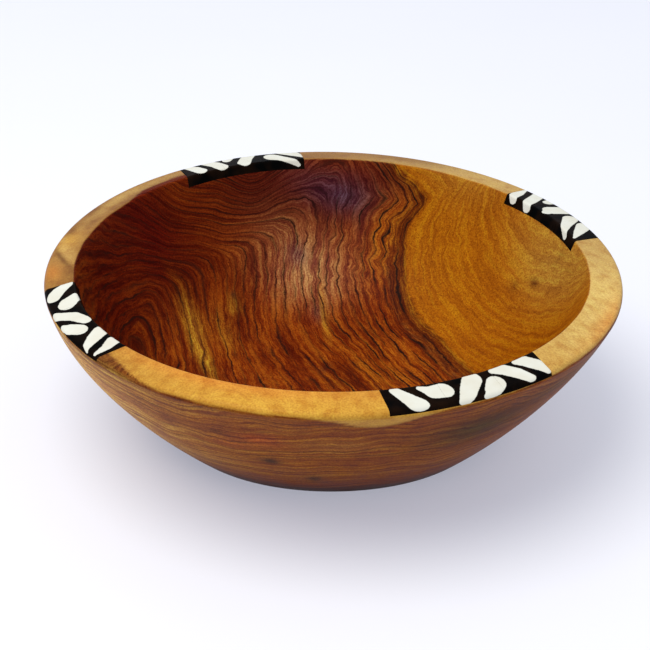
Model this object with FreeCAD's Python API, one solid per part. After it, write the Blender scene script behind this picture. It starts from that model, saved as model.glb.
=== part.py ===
import FreeCAD, Part
import math
import os

# A round bowl carved from one block of hardwood, a little out of true as hand work is. Its thick rim
# carries four inlays: short rows of dyed bone tiles, glued into notches that cross the whole rim.
# Origin: centre of the foot's flat face. +Z up. -Y is the front, +X the right. Millimetres and degrees.

# Driving dimensions
RIDGE_RADIUS = 127.9          # outermost line of the bowl, along the rim's outer edge
BOWL_HEIGHT = 79.5
FOOT_RADIUS = 69.9            # before its edge is rounded
WALL_ARC_RADIUS = 298.0       # the outer wall's curve, seen in section
RIM_INNER_RADIUS = 112.8
RIM_FALL = 1.9                # how much lower the outer ridge is than the inner edge
FLOOR_THICKNESS = 13.0
FOOT_ROUNDING = 2.0
RIDGE_ROUNDING = 2.2
INNER_EDGE_ROUNDING = 1.4

# Hand-carved outline, as shares of the radius: an oval, a three-lobed wander and a lean to one side
OVAL_SHARE, OVAL_LONG_AXIS = 0.0082, 99.8
LOBE_SHARE, LOBE_DIRECTION = 0.0064, -17.5
SIDE_SHARE, SIDE_DIRECTION = 0.007, 25.0      # the rim is thickest on this side
HOLLOW_OVAL_SHARE, HOLLOW_OVAL_LONG_AXIS = 0.0018, -27.2
WALL_OVAL_SHARE = 0.064       # the lower wall and foot are wider from side to side
WALL_LEAN_SHARE = -0.011      # halfway down, the wall stands a little further out on the left

# Inlays: azimuth of the middle, half the length at the middle of the rim, and how far the notch is
# skewed from straight across the rim. They are cut by hand, so no two are quite alike.
INLAYS = {
    "front_right": (296.8, 35.5, -5.0),
    "left": (208.7, 32.1, 0.0),
    "back_left": (112.6, 32.1, -6.0),
    "back_right": (26.6, 30.0, 10.0),
}
NOTCH_DEPTH = 4.2             # from the rim's highest line down to the notch's floor at the inner edge
NOTCH_FLOOR_TILT = 4.5        # the floor rises outwards by this angle
NOTCH_END_SPLAY = 5.0         # each end opens outwards by this angle
TILES_PER_INLAY = 3
GLUE_THICKNESS = 0.3          # under the tiles and at both ends
SEAM_THICKNESS = 0.15         # between one tile and the next

# Shape detail
OUTLINE_POINTS = 24           # points that each wandering outline passes through
WALL_SECTIONS = 7             # outlines that the outer wall passes through
HOLLOW_SECTIONS = 9
HOLLOW_POWER = 4.0            # the hollow's depth follows this power of the radius
HOLLOW_FLAT_SHARE = 0.2       # the middle of the hollow is flat out to this share of its radius
CUT_MARGIN = 12.0             # how far a cutting shape runs past the wood
NOTCH_REACH = 20.0            # the same at a notch, whose ends are further out than its middle
EDGE_WAVE = 1.5               # an edge counts as level if it stays this close to its height

RIDGE_HEIGHT = BOWL_HEIGHT - RIM_FALL
RIM_SLOPE = RIM_FALL / (RIDGE_RADIUS - RIM_INNER_RADIUS)
RIM_MIDDLE_RADIUS = (RIDGE_RADIUS + RIM_INNER_RADIUS) / 2
HOLLOW_DEPTH = BOWL_HEIGHT - FLOOR_THICKNESS


def lobe(azimuth):
    return LOBE_SHARE * math.cos(math.radians(3 * (azimuth - LOBE_DIRECTION)))


def wander(azimuth, drop=0):
    """How far the outline stands out at an azimuth, as a factor of the radius.

    Drop is the share of the way down from the ridge to the foot, where the lean ends.
    """
    oval = OVAL_SHARE * math.cos(math.radians(2 * (azimuth - OVAL_LONG_AXIS)))
    side = SIDE_SHARE * (1 - drop) * math.cos(math.radians(azimuth - SIDE_DIRECTION))
    return 1 + oval + side + lobe(azimuth)


def hollow_wander(azimuth):
    """The same for the hollow, which is a little out of line with the outside."""
    turned = math.radians(2 * (azimuth - HOLLOW_OVAL_LONG_AXIS))
    return 1 + HOLLOW_OVAL_SHARE * math.cos(turned) + lobe(azimuth)


def wall_wander(drop):
    """The outline's factor on the outer wall, at a share of the way down from ridge to foot."""

    def factor(azimuth):
        around = math.radians(azimuth)
        oval = WALL_OVAL_SHARE * (1 - (1 - drop) ** 3) * math.cos(2 * around)
        lean = WALL_LEAN_SHARE * 4 * drop * (1 - drop) * math.cos(around)
        return wander(azimuth, drop) + oval + lean

    return factor


def outline(radius, height, factor):
    """A closed, smooth, level outline whose radius follows factor(azimuth)."""
    points = []
    for step in range(OUTLINE_POINTS):
        azimuth = 360.0 * step / OUTLINE_POINTS
        reach = radius * factor(azimuth)
        turned = math.radians(azimuth)
        points.append(FreeCAD.Vector(reach * math.cos(turned), reach * math.sin(turned), height))
    curve = Part.BSplineCurve()
    curve.interpolate(Points=points, PeriodicFlag=True)
    return Part.Wire(curve.toShape())


def wall_profile():
    """Radius and height along the outer wall's arc, from the foot up to the ridge."""
    foot = FreeCAD.Vector(FOOT_RADIUS, 0, 0)
    ridge = FreeCAD.Vector(RIDGE_RADIUS, 0, RIDGE_HEIGHT)
    chord = ridge - foot
    to_centre = FreeCAD.Vector(-chord.z, 0, chord.x).normalize()
    reach = math.sqrt(WALL_ARC_RADIUS ** 2 - (chord.Length / 2) ** 2)
    centre = foot + chord * 0.5 + to_centre * reach
    start = math.atan2(foot.z - centre.z, foot.x - centre.x)
    end = math.atan2(ridge.z - centre.z, ridge.x - centre.x)
    profile = []
    for step in range(WALL_SECTIONS):
        angle = start + (end - start) * step / (WALL_SECTIONS - 1)
        radius = centre.x + WALL_ARC_RADIUS * math.cos(angle)
        height = centre.z + WALL_ARC_RADIUS * math.sin(angle)
        profile.append((radius, height))
    return profile


def hollow_profile():
    """Radius and height along the hollow, from its flat middle up past the rim."""
    profile = []
    top_share = 1 + CUT_MARGIN / HOLLOW_DEPTH / HOLLOW_POWER
    for step in range(HOLLOW_SECTIONS):
        share = HOLLOW_FLAT_SHARE + (top_share - HOLLOW_FLAT_SHARE) * step / (HOLLOW_SECTIONS - 1)
        height = FLOOR_THICKNESS + HOLLOW_DEPTH * share ** HOLLOW_POWER
        profile.append((RIM_INNER_RADIUS * share, height))
    return profile


def loft(outlines, straight=False):
    return Part.makeLoft(outlines, True, straight)


def edges_near(shape, height, lowest_reach, highest_reach):
    """Edges that lie all round the bowl close to a height and between two reaches."""
    found = []
    for edge in shape.Edges:
        box = edge.BoundBox
        middle = edge.valueAt((edge.FirstParameter + edge.LastParameter) / 2)
        reach = math.hypot(middle.x, middle.y)
        level = abs(box.ZMin - height) < EDGE_WAVE and abs(box.ZMax - height) < EDGE_WAVE
        if level and lowest_reach < reach < highest_reach:
            found.append(edge)
    return found


def bowl_blank():
    """The whole bowl with its rim whole, as it is before the notches are cut."""
    wall = loft(
        [
            outline(radius, height, wall_wander(1 - height / RIDGE_HEIGHT))
            for radius, height in wall_profile()
        ]
    )
    crown_top_radius = RIM_INNER_RADIUS - CUT_MARGIN
    crown_top = RIDGE_HEIGHT + (RIDGE_RADIUS - crown_top_radius) * RIM_SLOPE
    crown = loft(
        [
            outline(RIDGE_RADIUS, RIDGE_HEIGHT, wander),
            outline(crown_top_radius, crown_top, wander),
        ],
        straight=True,
    )
    hollow = loft([outline(radius, height, hollow_wander) for radius, height in hollow_profile()])
    blank = wall.fuse(crown).cut(hollow)
    ridge = edges_near(blank, RIDGE_HEIGHT, RIM_MIDDLE_RADIUS, RIDGE_RADIUS + CUT_MARGIN)
    blank = blank.makeFillet(RIDGE_ROUNDING, ridge)
    inner = edges_near(blank, BOWL_HEIGHT, RIM_INNER_RADIUS - CUT_MARGIN, RIM_MIDDLE_RADIUS)
    blank = blank.makeFillet(INNER_EDGE_ROUNDING, inner)
    foot = edges_near(blank, 0, FOOT_RADIUS - CUT_MARGIN, FOOT_RADIUS + CUT_MARGIN)
    return blank.makeFillet(FOOT_ROUNDING, foot)


def block_across_rim(inlay, start_side, end_side, lift):
    """A block across the rim in an inlay's place, its floor raised by lift from the notch's own.

    Each side is a share of the notch's half-length, from -1 at one end to 1 at the other, and a
    distance that the side is then moved along the rim.
    """
    azimuth, half_length, skew = inlay
    splay_rate = math.tan(math.radians(NOTCH_END_SPLAY))
    skew_rate = math.tan(math.radians(skew))
    tilt_rate = math.tan(math.radians(NOTCH_FLOOR_TILT))

    def corner(reach, side):
        share, shift = side
        outwards = reach - RIM_MIDDLE_RADIUS
        along = share * (half_length + outwards * splay_rate) + outwards * skew_rate + shift
        height = BOWL_HEIGHT - NOTCH_DEPTH + (reach - RIM_INNER_RADIUS) * tilt_rate + lift
        return FreeCAD.Vector(reach, along, height)

    inner_reach = RIM_INNER_RADIUS - NOTCH_REACH
    outer_reach = RIDGE_RADIUS + NOTCH_REACH
    corners = [
        corner(inner_reach, start_side),
        corner(outer_reach, start_side),
        corner(outer_reach, end_side),
        corner(inner_reach, end_side),
    ]
    face = Part.Face(Part.makePolygon(corners + corners[:1]))
    block = face.extrude(FreeCAD.Vector(0, 0, NOTCH_DEPTH + CUT_MARGIN))
    block.rotate(FreeCAD.Vector(0, 0, 0), FreeCAD.Vector(0, 0, 1), azimuth)
    return block


def notch_cutter(inlay):
    return block_across_rim(inlay, (-1, 0), (1, 0), 0)


def tile_space(inlay, number):
    """The straight-sided space of one tile, numbered 1 up from the end with the lower azimuth."""
    start = -1 + 2.0 * (number - 1) / TILES_PER_INLAY
    end = -1 + 2.0 * number / TILES_PER_INLAY
    start_gap = GLUE_THICKNESS if number == 1 else SEAM_THICKNESS / 2
    end_gap = GLUE_THICKNESS if number == TILES_PER_INLAY else SEAM_THICKNESS / 2
    return block_across_rim(inlay, (start, start_gap), (end, -end_gap), GLUE_THICKNESS)


def bone_tile(blank, inlay, number):
    """One tile, its faces level with the wood all round it."""
    return blank.common(tile_space(inlay, number))


def adhesive_bed(blank, inlay):
    """What is left of a notch once its tiles are in: a thin bed, two ends and the ribs between."""
    filling = blank.common(notch_cutter(inlay))
    for number in range(1, TILES_PER_INLAY + 1):
        filling = filling.cut(tile_space(inlay, number))
    return filling


def bowl_body(blank):
    body = blank
    for inlay in INLAYS.values():
        body = body.cut(notch_cutter(inlay))
    return body


def save(shape, node):
    """Write one node, which has to be a single closed solid."""
    if len(shape.Solids) != 1 or not shape.isValid():
        raise ValueError(node + " is not one valid solid")
    shape.Solids[0].exportStep(os.path.join("parts", node + ".step"))


os.makedirs("parts", exist_ok=True)
blank = bowl_blank()
save(bowl_body(blank), "bowl_body")
for place, inlay in INLAYS.items():
    save(adhesive_bed(blank, inlay), "adhesive_bed_" + place)
    for number in range(1, TILES_PER_INLAY + 1):
        save(bone_tile(blank, inlay, number), "bone_tile_%s_%d" % (place, number))
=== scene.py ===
import math

import bpy
import numpy as np
from mathutils import Matrix, Vector, noise


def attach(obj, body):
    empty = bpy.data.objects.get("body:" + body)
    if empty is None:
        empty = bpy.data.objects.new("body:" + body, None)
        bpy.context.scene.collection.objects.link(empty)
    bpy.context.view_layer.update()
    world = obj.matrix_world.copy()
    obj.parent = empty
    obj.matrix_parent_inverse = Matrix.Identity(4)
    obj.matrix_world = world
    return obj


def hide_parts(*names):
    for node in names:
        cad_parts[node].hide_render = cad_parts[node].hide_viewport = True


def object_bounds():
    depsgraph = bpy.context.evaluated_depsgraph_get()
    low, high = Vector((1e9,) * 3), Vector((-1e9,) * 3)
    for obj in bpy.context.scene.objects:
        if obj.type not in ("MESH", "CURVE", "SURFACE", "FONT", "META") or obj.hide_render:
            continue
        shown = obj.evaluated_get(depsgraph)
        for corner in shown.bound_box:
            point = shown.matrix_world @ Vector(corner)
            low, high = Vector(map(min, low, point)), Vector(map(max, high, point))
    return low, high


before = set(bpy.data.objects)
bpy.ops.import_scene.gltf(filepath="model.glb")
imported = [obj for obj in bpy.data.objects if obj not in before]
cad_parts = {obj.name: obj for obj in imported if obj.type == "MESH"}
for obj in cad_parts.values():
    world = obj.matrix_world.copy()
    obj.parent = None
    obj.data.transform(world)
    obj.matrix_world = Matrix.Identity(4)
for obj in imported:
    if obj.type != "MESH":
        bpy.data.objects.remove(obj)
cad_low, cad_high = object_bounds()

# ----- Sizes -----
# In the design's millimetres and degrees. The frame's height gives MM, which turns them
# into metres. Origin: centre of the foot's flat face. +Z up, -Y the front, azimuth 0 along +X.
RIDGE_RADIUS = 127.9
BOWL_HEIGHT = 79.5
FOOT_RADIUS = 69.9
WALL_ARC_RADIUS = 298.0
RIM_INNER_RADIUS = 112.8
RIM_FALL = 1.9
FLOOR_THICKNESS = 13.0
FOOT_ROUNDING = 2.0
RIDGE_ROUNDING = 2.2
INNER_EDGE_ROUNDING = 1.4
HOLLOW_POWER = 4.0

# The hand-carved outline, as shares of the radius
OVAL_SHARE, OVAL_LONG_AXIS = 0.0082, 99.8
LOBE_SHARE, LOBE_DIRECTION = 0.0064, -17.5
SIDE_SHARE, SIDE_DIRECTION = 0.007, 25.0
HOLLOW_OVAL_SHARE, HOLLOW_OVAL_LONG_AXIS = 0.0018, -27.2
WALL_OVAL_SHARE = 0.064
WALL_LEAN_SHARE = -0.011

# Inlays: azimuth of the middle, half-length at the middle of the rim, skew from straight across
INLAYS = {
    "front_right": (296.8, 35.5, -5.0),
    "left": (208.7, 32.1, 0.0),
    "back_left": (112.6, 32.1, -6.0),
    "back_right": (26.6, 30.0, 10.0),
}
NOTCH_DEPTH = 4.2
NOTCH_FLOOR_TILT = 4.5
NOTCH_END_SPLAY = 5.0
TILES_PER_INLAY = 3
GLUE_THICKNESS = 0.3
SEAM_THICKNESS = 0.15
TILE_EDGE_ROUNDING = 0.12
GLUE_SHRINK = 0.02            # how far set glue lies below the bone beside it
NOTCH_REACH = 20.0            # how far a notch's cutter runs past the rim on both sides
CUT_MARGIN = 12.0             # and above it

# Mesh steps
BOWL_COLUMNS = 600
FOOT_FLAT_STEPS = 9
FOOT_STEPS = 5
WALL_STEPS = 46
RIDGE_STEPS = 8
CROWN_STEPS = 9
INNER_EDGE_STEPS = 7
HOLLOW_STEPS = 62
TILE_OUTSIDE_STEPS = 6        # the tiles' outlines have their own steps beside the shared arcs
TILE_CROWN_STEPS = 12
TILE_INSIDE_STEPS = 10
TILE_COLUMN_STEP = 0.5
TILE_EDGE_COLUMNS = (0, 0.12, 0.35, 0.65, 1.0)      # as shares of the rounded edge
TILE_ROWS = 56
BED_COLUMNS = 40
OUTLINE_SPAN = 22             # degrees to each side of an inlay's middle
OUTLINE_COUNT = 89
SEARCH_STEPS = 6              # rounds of working closer to where two surfaces meet
SLOPE_STEP = 1.0              # height over which a surface's slope is taken
BOWL_SHARP_ANGLE = 35
TILE_SHARP_ANGLE = 50

RIDGE_HEIGHT = BOWL_HEIGHT - RIM_FALL
RIM_SLOPE = RIM_FALL / (RIDGE_RADIUS - RIM_INNER_RADIUS)
RIM_MIDDLE_RADIUS = (RIDGE_RADIUS + RIM_INNER_RADIUS) / 2
HOLLOW_DEPTH = BOWL_HEIGHT - FLOOR_THICKNESS

# Strokes and stains are placed by distance across the rim. The rim counts as PAINTED_WIDTH wide
# all the way round, and the distance runs on down its two sides at these rates.
PAINTED_WIDTH = 14.2
OUTSIDE_RATE = 1.54
INSIDE_RATE = -0.63


# ----- The bowl's shape, as functions of azimuth -----
def lobe(azimuth):
    return LOBE_SHARE * np.cos(np.radians(3 * (azimuth - LOBE_DIRECTION)))


def wander(azimuth, drop=0):
    """How far the outline stands out at an azimuth, as a factor of the radius.

    Drop is the share of the way down from the ridge to the foot.
    """
    oval = OVAL_SHARE * np.cos(np.radians(2 * (azimuth - OVAL_LONG_AXIS)))
    side = SIDE_SHARE * (1 - drop) * np.cos(np.radians(azimuth - SIDE_DIRECTION))
    return 1 + oval + side + lobe(azimuth)


def hollow_wander(azimuth):
    turned = np.radians(2 * (azimuth - HOLLOW_OVAL_LONG_AXIS))
    return 1 + HOLLOW_OVAL_SHARE * np.cos(turned) + lobe(azimuth)


def wall_wander(azimuth, drop):
    around = np.radians(azimuth)
    oval = WALL_OVAL_SHARE * (1 - (1 - drop) ** 3) * np.cos(2 * around)
    lean = WALL_LEAN_SHARE * 4 * drop * (1 - drop) * np.cos(around)
    return wander(azimuth, drop) + oval + lean


def wall_arc_centre():
    chord = np.array([RIDGE_RADIUS - FOOT_RADIUS, RIDGE_HEIGHT])
    length = np.hypot(*chord)
    reach = math.sqrt(WALL_ARC_RADIUS ** 2 - (length / 2) ** 2)
    middle = np.array([FOOT_RADIUS, 0.0]) + chord / 2
    return middle + np.array([-chord[1], chord[0]]) / length * reach


WALL_CENTRE_REACH, WALL_CENTRE_HEIGHT = wall_arc_centre()


def wall_reach(azimuth, height):
    """The outer wall's reach from the axis at a height."""
    angle = np.arcsin((height - WALL_CENTRE_HEIGHT) / WALL_ARC_RADIUS)
    radius = WALL_CENTRE_REACH + WALL_ARC_RADIUS * np.cos(angle)
    return radius * wall_wander(azimuth, 1 - height / RIDGE_HEIGHT)


def hollow_reach(azimuth, height):
    share = (np.maximum(height - FLOOR_THICKNESS, 0) / HOLLOW_DEPTH) ** (1 / HOLLOW_POWER)
    return RIM_INNER_RADIUS * share * hollow_wander(azimuth)


def crown_height(azimuth, reach):
    return RIDGE_HEIGHT + (RIDGE_RADIUS - reach / wander(azimuth)) * RIM_SLOPE


def inner_edge(azimuth):
    """Where the hollow meets the rim's crown, as points of reach and height."""
    height = np.full_like(azimuth, BOWL_HEIGHT)
    for _ in range(SEARCH_STEPS):
        reach = hollow_reach(azimuth, height)
        height = crown_height(azimuth, reach)
    return np.stack([reach, height], -1)


def ridge_corner(azimuth):
    return np.stack([RIDGE_RADIUS * wander(azimuth), np.full_like(azimuth, RIDGE_HEIGHT)], -1)


def unit(vectors):
    return vectors / np.linalg.norm(vectors, axis=-1, keepdims=True)


def rounded(corner, before, after, radius, steps):
    """The arc that rounds a corner between two unit directions that leave it."""
    half = 0.5 * np.arccos((before * after).sum(-1, keepdims=True))
    centre = corner + unit(before + after) * radius / np.sin(half)
    start = corner + before * radius / np.tan(half) - centre
    end = corner + after * radius / np.tan(half) - centre
    span = np.pi - 2 * half
    points = []
    for step in range(steps + 1):
        share = step / steps
        arm = (np.sin((1 - share) * span) * start + np.sin(share * span) * end) / np.sin(span)
        points.append(centre + arm)
    return np.stack(points, 1)


def wall_points(azimuth, heights):
    return np.stack([wall_reach(azimuth[:, None], heights), heights], -1)


def hollow_points(azimuth, heights):
    return np.stack([hollow_reach(azimuth[:, None], heights), heights], -1)


def between(start, end, steps):
    """Values from start to end for each azimuth, without the two ends."""
    shares = np.arange(1, steps) / steps
    return start[:, None] + (end - start)[:, None] * shares[None, :]


def rim_arcs(azimuth):
    """The rounded ridge and the rounded inner edge for each azimuth."""
    ridge = ridge_corner(azimuth)
    inner = inner_edge(azimuth)
    below_ridge = wall_points(azimuth, (ridge[:, 1] - SLOPE_STEP)[:, None])[:, 0]
    below_inner = hollow_points(azimuth, (inner[:, 1] - SLOPE_STEP)[:, None])[:, 0]
    across = unit(inner - ridge)
    down_wall = unit(below_ridge - ridge)
    down_hollow = unit(below_inner - inner)
    ridge_arc = rounded(ridge, down_wall, across, RIDGE_ROUNDING, RIDGE_STEPS)
    inner_arc = rounded(inner, -across, down_hollow, INNER_EDGE_ROUNDING, INNER_EDGE_STEPS)
    return ridge_arc, inner_arc


def straight(start, end, steps):
    """Points on the straight line from start to end for each azimuth, without the two ends."""
    shares = (np.arange(1, steps) / steps)[None, :, None]
    return start[:, None] * (1 - shares) + end[:, None] * shares


def rim_profile(azimuth, lowest):
    """Points of the section from lowest on the outer wall over the rim to lowest in the hollow."""
    ridge_arc, inner_arc = rim_arcs(azimuth)
    low = np.full_like(azimuth, lowest)
    outer = wall_points(azimuth, between(low, ridge_arc[:, 0, 1], TILE_OUTSIDE_STEPS))
    crown = straight(ridge_arc[:, -1], inner_arc[:, 0], TILE_CROWN_STEPS)
    inner = hollow_points(azimuth, between(inner_arc[:, -1, 1], low, TILE_INSIDE_STEPS))
    first = wall_points(azimuth, low[:, None])
    last = hollow_points(azimuth, low[:, None])
    return np.concatenate([first, outer, ridge_arc, crown, inner_arc, inner, last], 1)


def bowl_section(azimuth):
    """The whole section for each azimuth, from the foot's centre round to the hollow's floor."""
    zero = np.zeros_like(azimuth)
    foot = np.stack([wall_reach(azimuth, zero), zero], -1)
    above_foot = wall_points(azimuth, (zero + SLOPE_STEP)[:, None])[:, 0]
    flat = np.broadcast_to(np.array([-1.0, 0.0]), foot.shape)
    foot_arc = rounded(foot, flat, unit(above_foot - foot), FOOT_ROUNDING, FOOT_STEPS)
    ridge_arc, inner_arc = rim_arcs(azimuth)
    foot_flat = straight(np.zeros_like(foot), foot_arc[:, 0], FOOT_FLAT_STEPS)
    wall = wall_points(azimuth, between(foot_arc[:, -1, 1], ridge_arc[:, 0, 1], WALL_STEPS))
    crown = straight(ridge_arc[:, -1], inner_arc[:, 0], CROWN_STEPS)
    rim_share = inner_arc[:, -1, 0] / hollow_wander(azimuth) / RIM_INNER_RADIUS
    shares = between(rim_share, zero, HOLLOW_STEPS)
    hollow = np.stack(
        [
            RIM_INNER_RADIUS * shares * hollow_wander(azimuth)[:, None],
            FLOOR_THICKNESS + HOLLOW_DEPTH * shares ** HOLLOW_POWER,
        ],
        -1,
    )
    return np.concatenate([foot_flat, foot_arc, wall, ridge_arc, crown, inner_arc, hollow], 1)


def highest_point():
    """The rim's highest point, in the design's millimetres."""
    arcs = rim_arcs(np.arange(0.0, 360.0, 1.0))
    return max(arc[..., 1].max() for arc in arcs)


MM = cad_high.z / highest_point()


# ----- Mesh helpers -----
def placed(azimuth, points):
    """Points of reach and height at azimuths, as x, y, z."""
    turned = np.radians(azimuth)
    reach, height = points[..., 0], points[..., 1]
    return np.stack([reach * np.cos(turned), reach * np.sin(turned), height], -1)


NOISE_SHIFT = np.array([17.3, 5.1, 9.7])      # from one seed's noise to the next


def noise_at(points, scale, seed):
    """Smooth noise between about -1 and 1, with features of about scale millimetres."""
    shift = Vector(seed * NOISE_SHIFT)
    return np.array([noise.noise(Vector(p) / scale + shift) for p in points.reshape(-1, 3)])


def make_object(name, vertices, faces):
    mesh = bpy.data.meshes.new(name)
    mesh.from_pydata((vertices * MM).tolist(), [], faces)
    mesh.update()
    piece = bpy.data.objects.new(name, mesh)
    bpy.context.scene.collection.objects.link(piece)
    return piece


def join(name, parts):
    """Makes one object from several, and removes them."""
    vertices = []
    faces = []
    for part in parts:
        first = len(vertices)
        vertices += [tuple(v.co / MM) for v in part.data.vertices]
        faces += [tuple(first + index for index in p.vertices) for p in part.data.polygons]
        bpy.data.objects.remove(part)
    return make_object(name, np.array(vertices), faces)


def set_attribute(piece, name, values):
    attribute = piece.data.attributes.new(name, "FLOAT", "POINT")
    attribute.data.foreach_set("value", np.asarray(values, np.float32))


def set_colour(piece, name, colours):
    attribute = piece.data.attributes.new(name, "FLOAT_COLOR", "POINT")
    with_alpha = np.hstack([colours, np.ones((len(colours), 1))])
    attribute.data.foreach_set("color", with_alpha.astype(np.float32).ravel())


def positions(piece):
    points = np.empty(len(piece.data.vertices) * 3, np.float32)
    piece.data.vertices.foreach_get("co", points)
    return points.reshape(-1, 3).astype(float) / MM


def shade_smooth(piece, sharp_angle):
    for polygon in piece.data.polygons:
        polygon.use_smooth = True
    piece.data.set_sharp_from_angle(angle=math.radians(sharp_angle))


# ----- The bowl's body -----
def carve_bowl():
    azimuth = np.arange(BOWL_COLUMNS) * 360.0 / BOWL_COLUMNS
    section = bowl_section(azimuth)
    rows = section.shape[1]
    ring = placed(azimuth[:, None], section).reshape(-1, 3)
    foot_centre = len(ring)
    floor_centre = foot_centre + 1
    vertices = np.vstack([ring, [[0, 0, 0], [0, 0, FLOOR_THICKNESS]]])
    faces = []
    for column in range(BOWL_COLUMNS):
        here = column * rows
        there = (column + 1) % BOWL_COLUMNS * rows
        faces.append((foot_centre, there, here))
        for row in range(rows - 1):
            faces.append((here + row, there + row, there + row + 1, here + row + 1))
        faces.append((here + rows - 1, there + rows - 1, floor_centre))
    return make_object("bowl_body_carved", vertices, faces)


def notch_line(inlay, side, reach):
    """How far along the rim from an inlay's middle one of its sides is, at a reach.

    A side is a share of the half-length, -1 and 1 being the notch's ends, and a shift.
    """
    _, half_length, skew = inlay
    share, shift = side
    outwards = reach - RIM_MIDDLE_RADIUS
    splay = outwards * math.tan(math.radians(NOTCH_END_SPLAY))
    return share * (half_length + splay) + outwards * math.tan(math.radians(skew)) + shift


def notch_floor(reach):
    tilt = math.tan(math.radians(NOTCH_FLOOR_TILT))
    return BOWL_HEIGHT - NOTCH_DEPTH + (reach - RIM_INNER_RADIUS) * tilt


def notch_cutter(place):
    inlay = INLAYS[place]
    corners = []
    inside = RIM_INNER_RADIUS - NOTCH_REACH
    outside = RIDGE_RADIUS + NOTCH_REACH
    for reach, end in ((inside, -1), (outside, -1), (outside, 1), (inside, 1)):
        corners.append((reach, notch_line(inlay, (end, 0), reach), notch_floor(reach)))
    low = np.array(corners)
    high = low + np.array([0, 0, NOTCH_DEPTH + CUT_MARGIN])
    turn = np.array(Matrix.Rotation(math.radians(inlay[0]), 3, "Z"))
    vertices = np.vstack([low, high]) @ turn.T
    faces = [(3, 2, 1, 0), (4, 5, 6, 7), (0, 1, 5, 4), (1, 2, 6, 5), (2, 3, 7, 6), (3, 0, 4, 7)]
    return make_object("cutter_" + place, vertices, faces)


def cut_notches(bowl):
    for place in INLAYS:
        cutter = notch_cutter(place)
        cut = bowl.modifiers.new("cut", "BOOLEAN")
        cut.operation = "DIFFERENCE"
        cut.solver = "EXACT"
        cut.object = cutter
        evaluated = bowl.evaluated_get(bpy.context.evaluated_depsgraph_get())
        mesh = bpy.data.meshes.new_from_object(evaluated)
        bowl.modifiers.clear()
        bowl.data = mesh
        bpy.data.objects.remove(cutter)
    bowl.data.name = bowl.name


# ----- The bone tiles and the glue round them -----
def clip_above(profile, floor):
    """The part of an open profile that is above a floor, with its two ends on the floor."""
    above = profile[:, 1] - floor
    kept = []
    for index in range(len(profile) - 1):
        point, depth = profile[index], above[index]
        later, later_depth = profile[index + 1], above[index + 1]
        if depth > 0:
            kept.append(point)
        if depth * later_depth < 0:
            kept.append(point + (later - point) * depth / (depth - later_depth))
    return np.array(kept)


def evenly(points, count):
    """The same line, as points at even steps along it."""
    run = np.concatenate([[0], np.cumsum(np.hypot(*np.diff(points, axis=0).T))])
    steps = np.linspace(0, run[-1], count)
    return np.stack([np.interp(steps, run, points[:, 0]), np.interp(steps, run, points[:, 1])], -1)


def rim_outlines(inlay):
    """Outlines of the tiles, and of the glue under them, at close azimuths."""
    azimuths = np.linspace(inlay[0] - OUTLINE_SPAN, inlay[0] + OUTLINE_SPAN, OUTLINE_COUNT)
    below_notch = 3.0
    lowest = BOWL_HEIGHT - NOTCH_DEPTH - below_notch
    tile_outlines = []
    glue_outlines = []
    for azimuth, profile in zip(azimuths, rim_profile(azimuths, lowest)):
        floor = notch_floor(profile[:, 0] * math.cos(math.radians(azimuth - inlay[0])))
        over_wood = clip_above(profile, floor)
        over_glue = clip_above(profile, floor + GLUE_THICKNESS)
        tile_outlines.append(evenly(over_glue, TILE_ROWS))
        glue_outlines.append(np.array([over_wood[0], over_glue[0], over_glue[-1], over_wood[-1]]))
    return azimuths, np.array(tile_outlines), np.array(glue_outlines)


def rim_slice(name, inlay, azimuths, outlines, start, end, shares, sink):
    """A piece of the rim: an outline swept from its start side to its end side.

    Shares say where its columns are, and sink says how far each is set in below the surface.
    """
    rows, columns = outlines.shape[1], len(shares)
    points = np.zeros((rows, columns, 2))
    azimuth = np.zeros((rows, columns))
    for row in range(rows):
        offset = np.zeros(columns)
        for _ in range(SEARCH_STEPS):
            reach = np.interp(inlay[0] + np.degrees(offset), azimuths, outlines[:, row, 0])
            outwards = reach * np.cos(offset)
            first = notch_line(inlay, start, outwards)
            last = notch_line(inlay, end, outwards)
            offset = np.arcsin((first + (last - first) * shares) / reach)
        azimuth[row] = inlay[0] + np.degrees(offset)
        points[row, :, 0] = reach
        points[row, :, 1] = np.interp(azimuth[row], azimuths, outlines[:, row, 1])
    run = np.gradient(points, axis=0)
    inward = unit(np.stack([-run[..., 1], run[..., 0]], -1))
    points = points + inward * sink[None, :, None]
    faces = []
    for row in range(rows - 1):
        for column in range(columns - 1):
            here = row * columns + column
            faces.append((here, here + 1, here + columns + 1, here + columns))
    top = (rows - 1) * columns
    for column in range(columns - 1):
        faces.append((column + 1, column, top + column, top + column + 1))
    faces.append(tuple(row * columns for row in range(rows)))
    faces.append(tuple(row * columns + columns - 1 for row in reversed(range(rows))))
    return make_object(name, placed(azimuth, points).reshape(-1, 3), faces)


def seam_side(number, shift):
    """The side at a seam, where seams 0 and TILES_PER_INLAY are the notch's ends."""
    return -1 + 2 * number / TILES_PER_INLAY, shift


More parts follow.
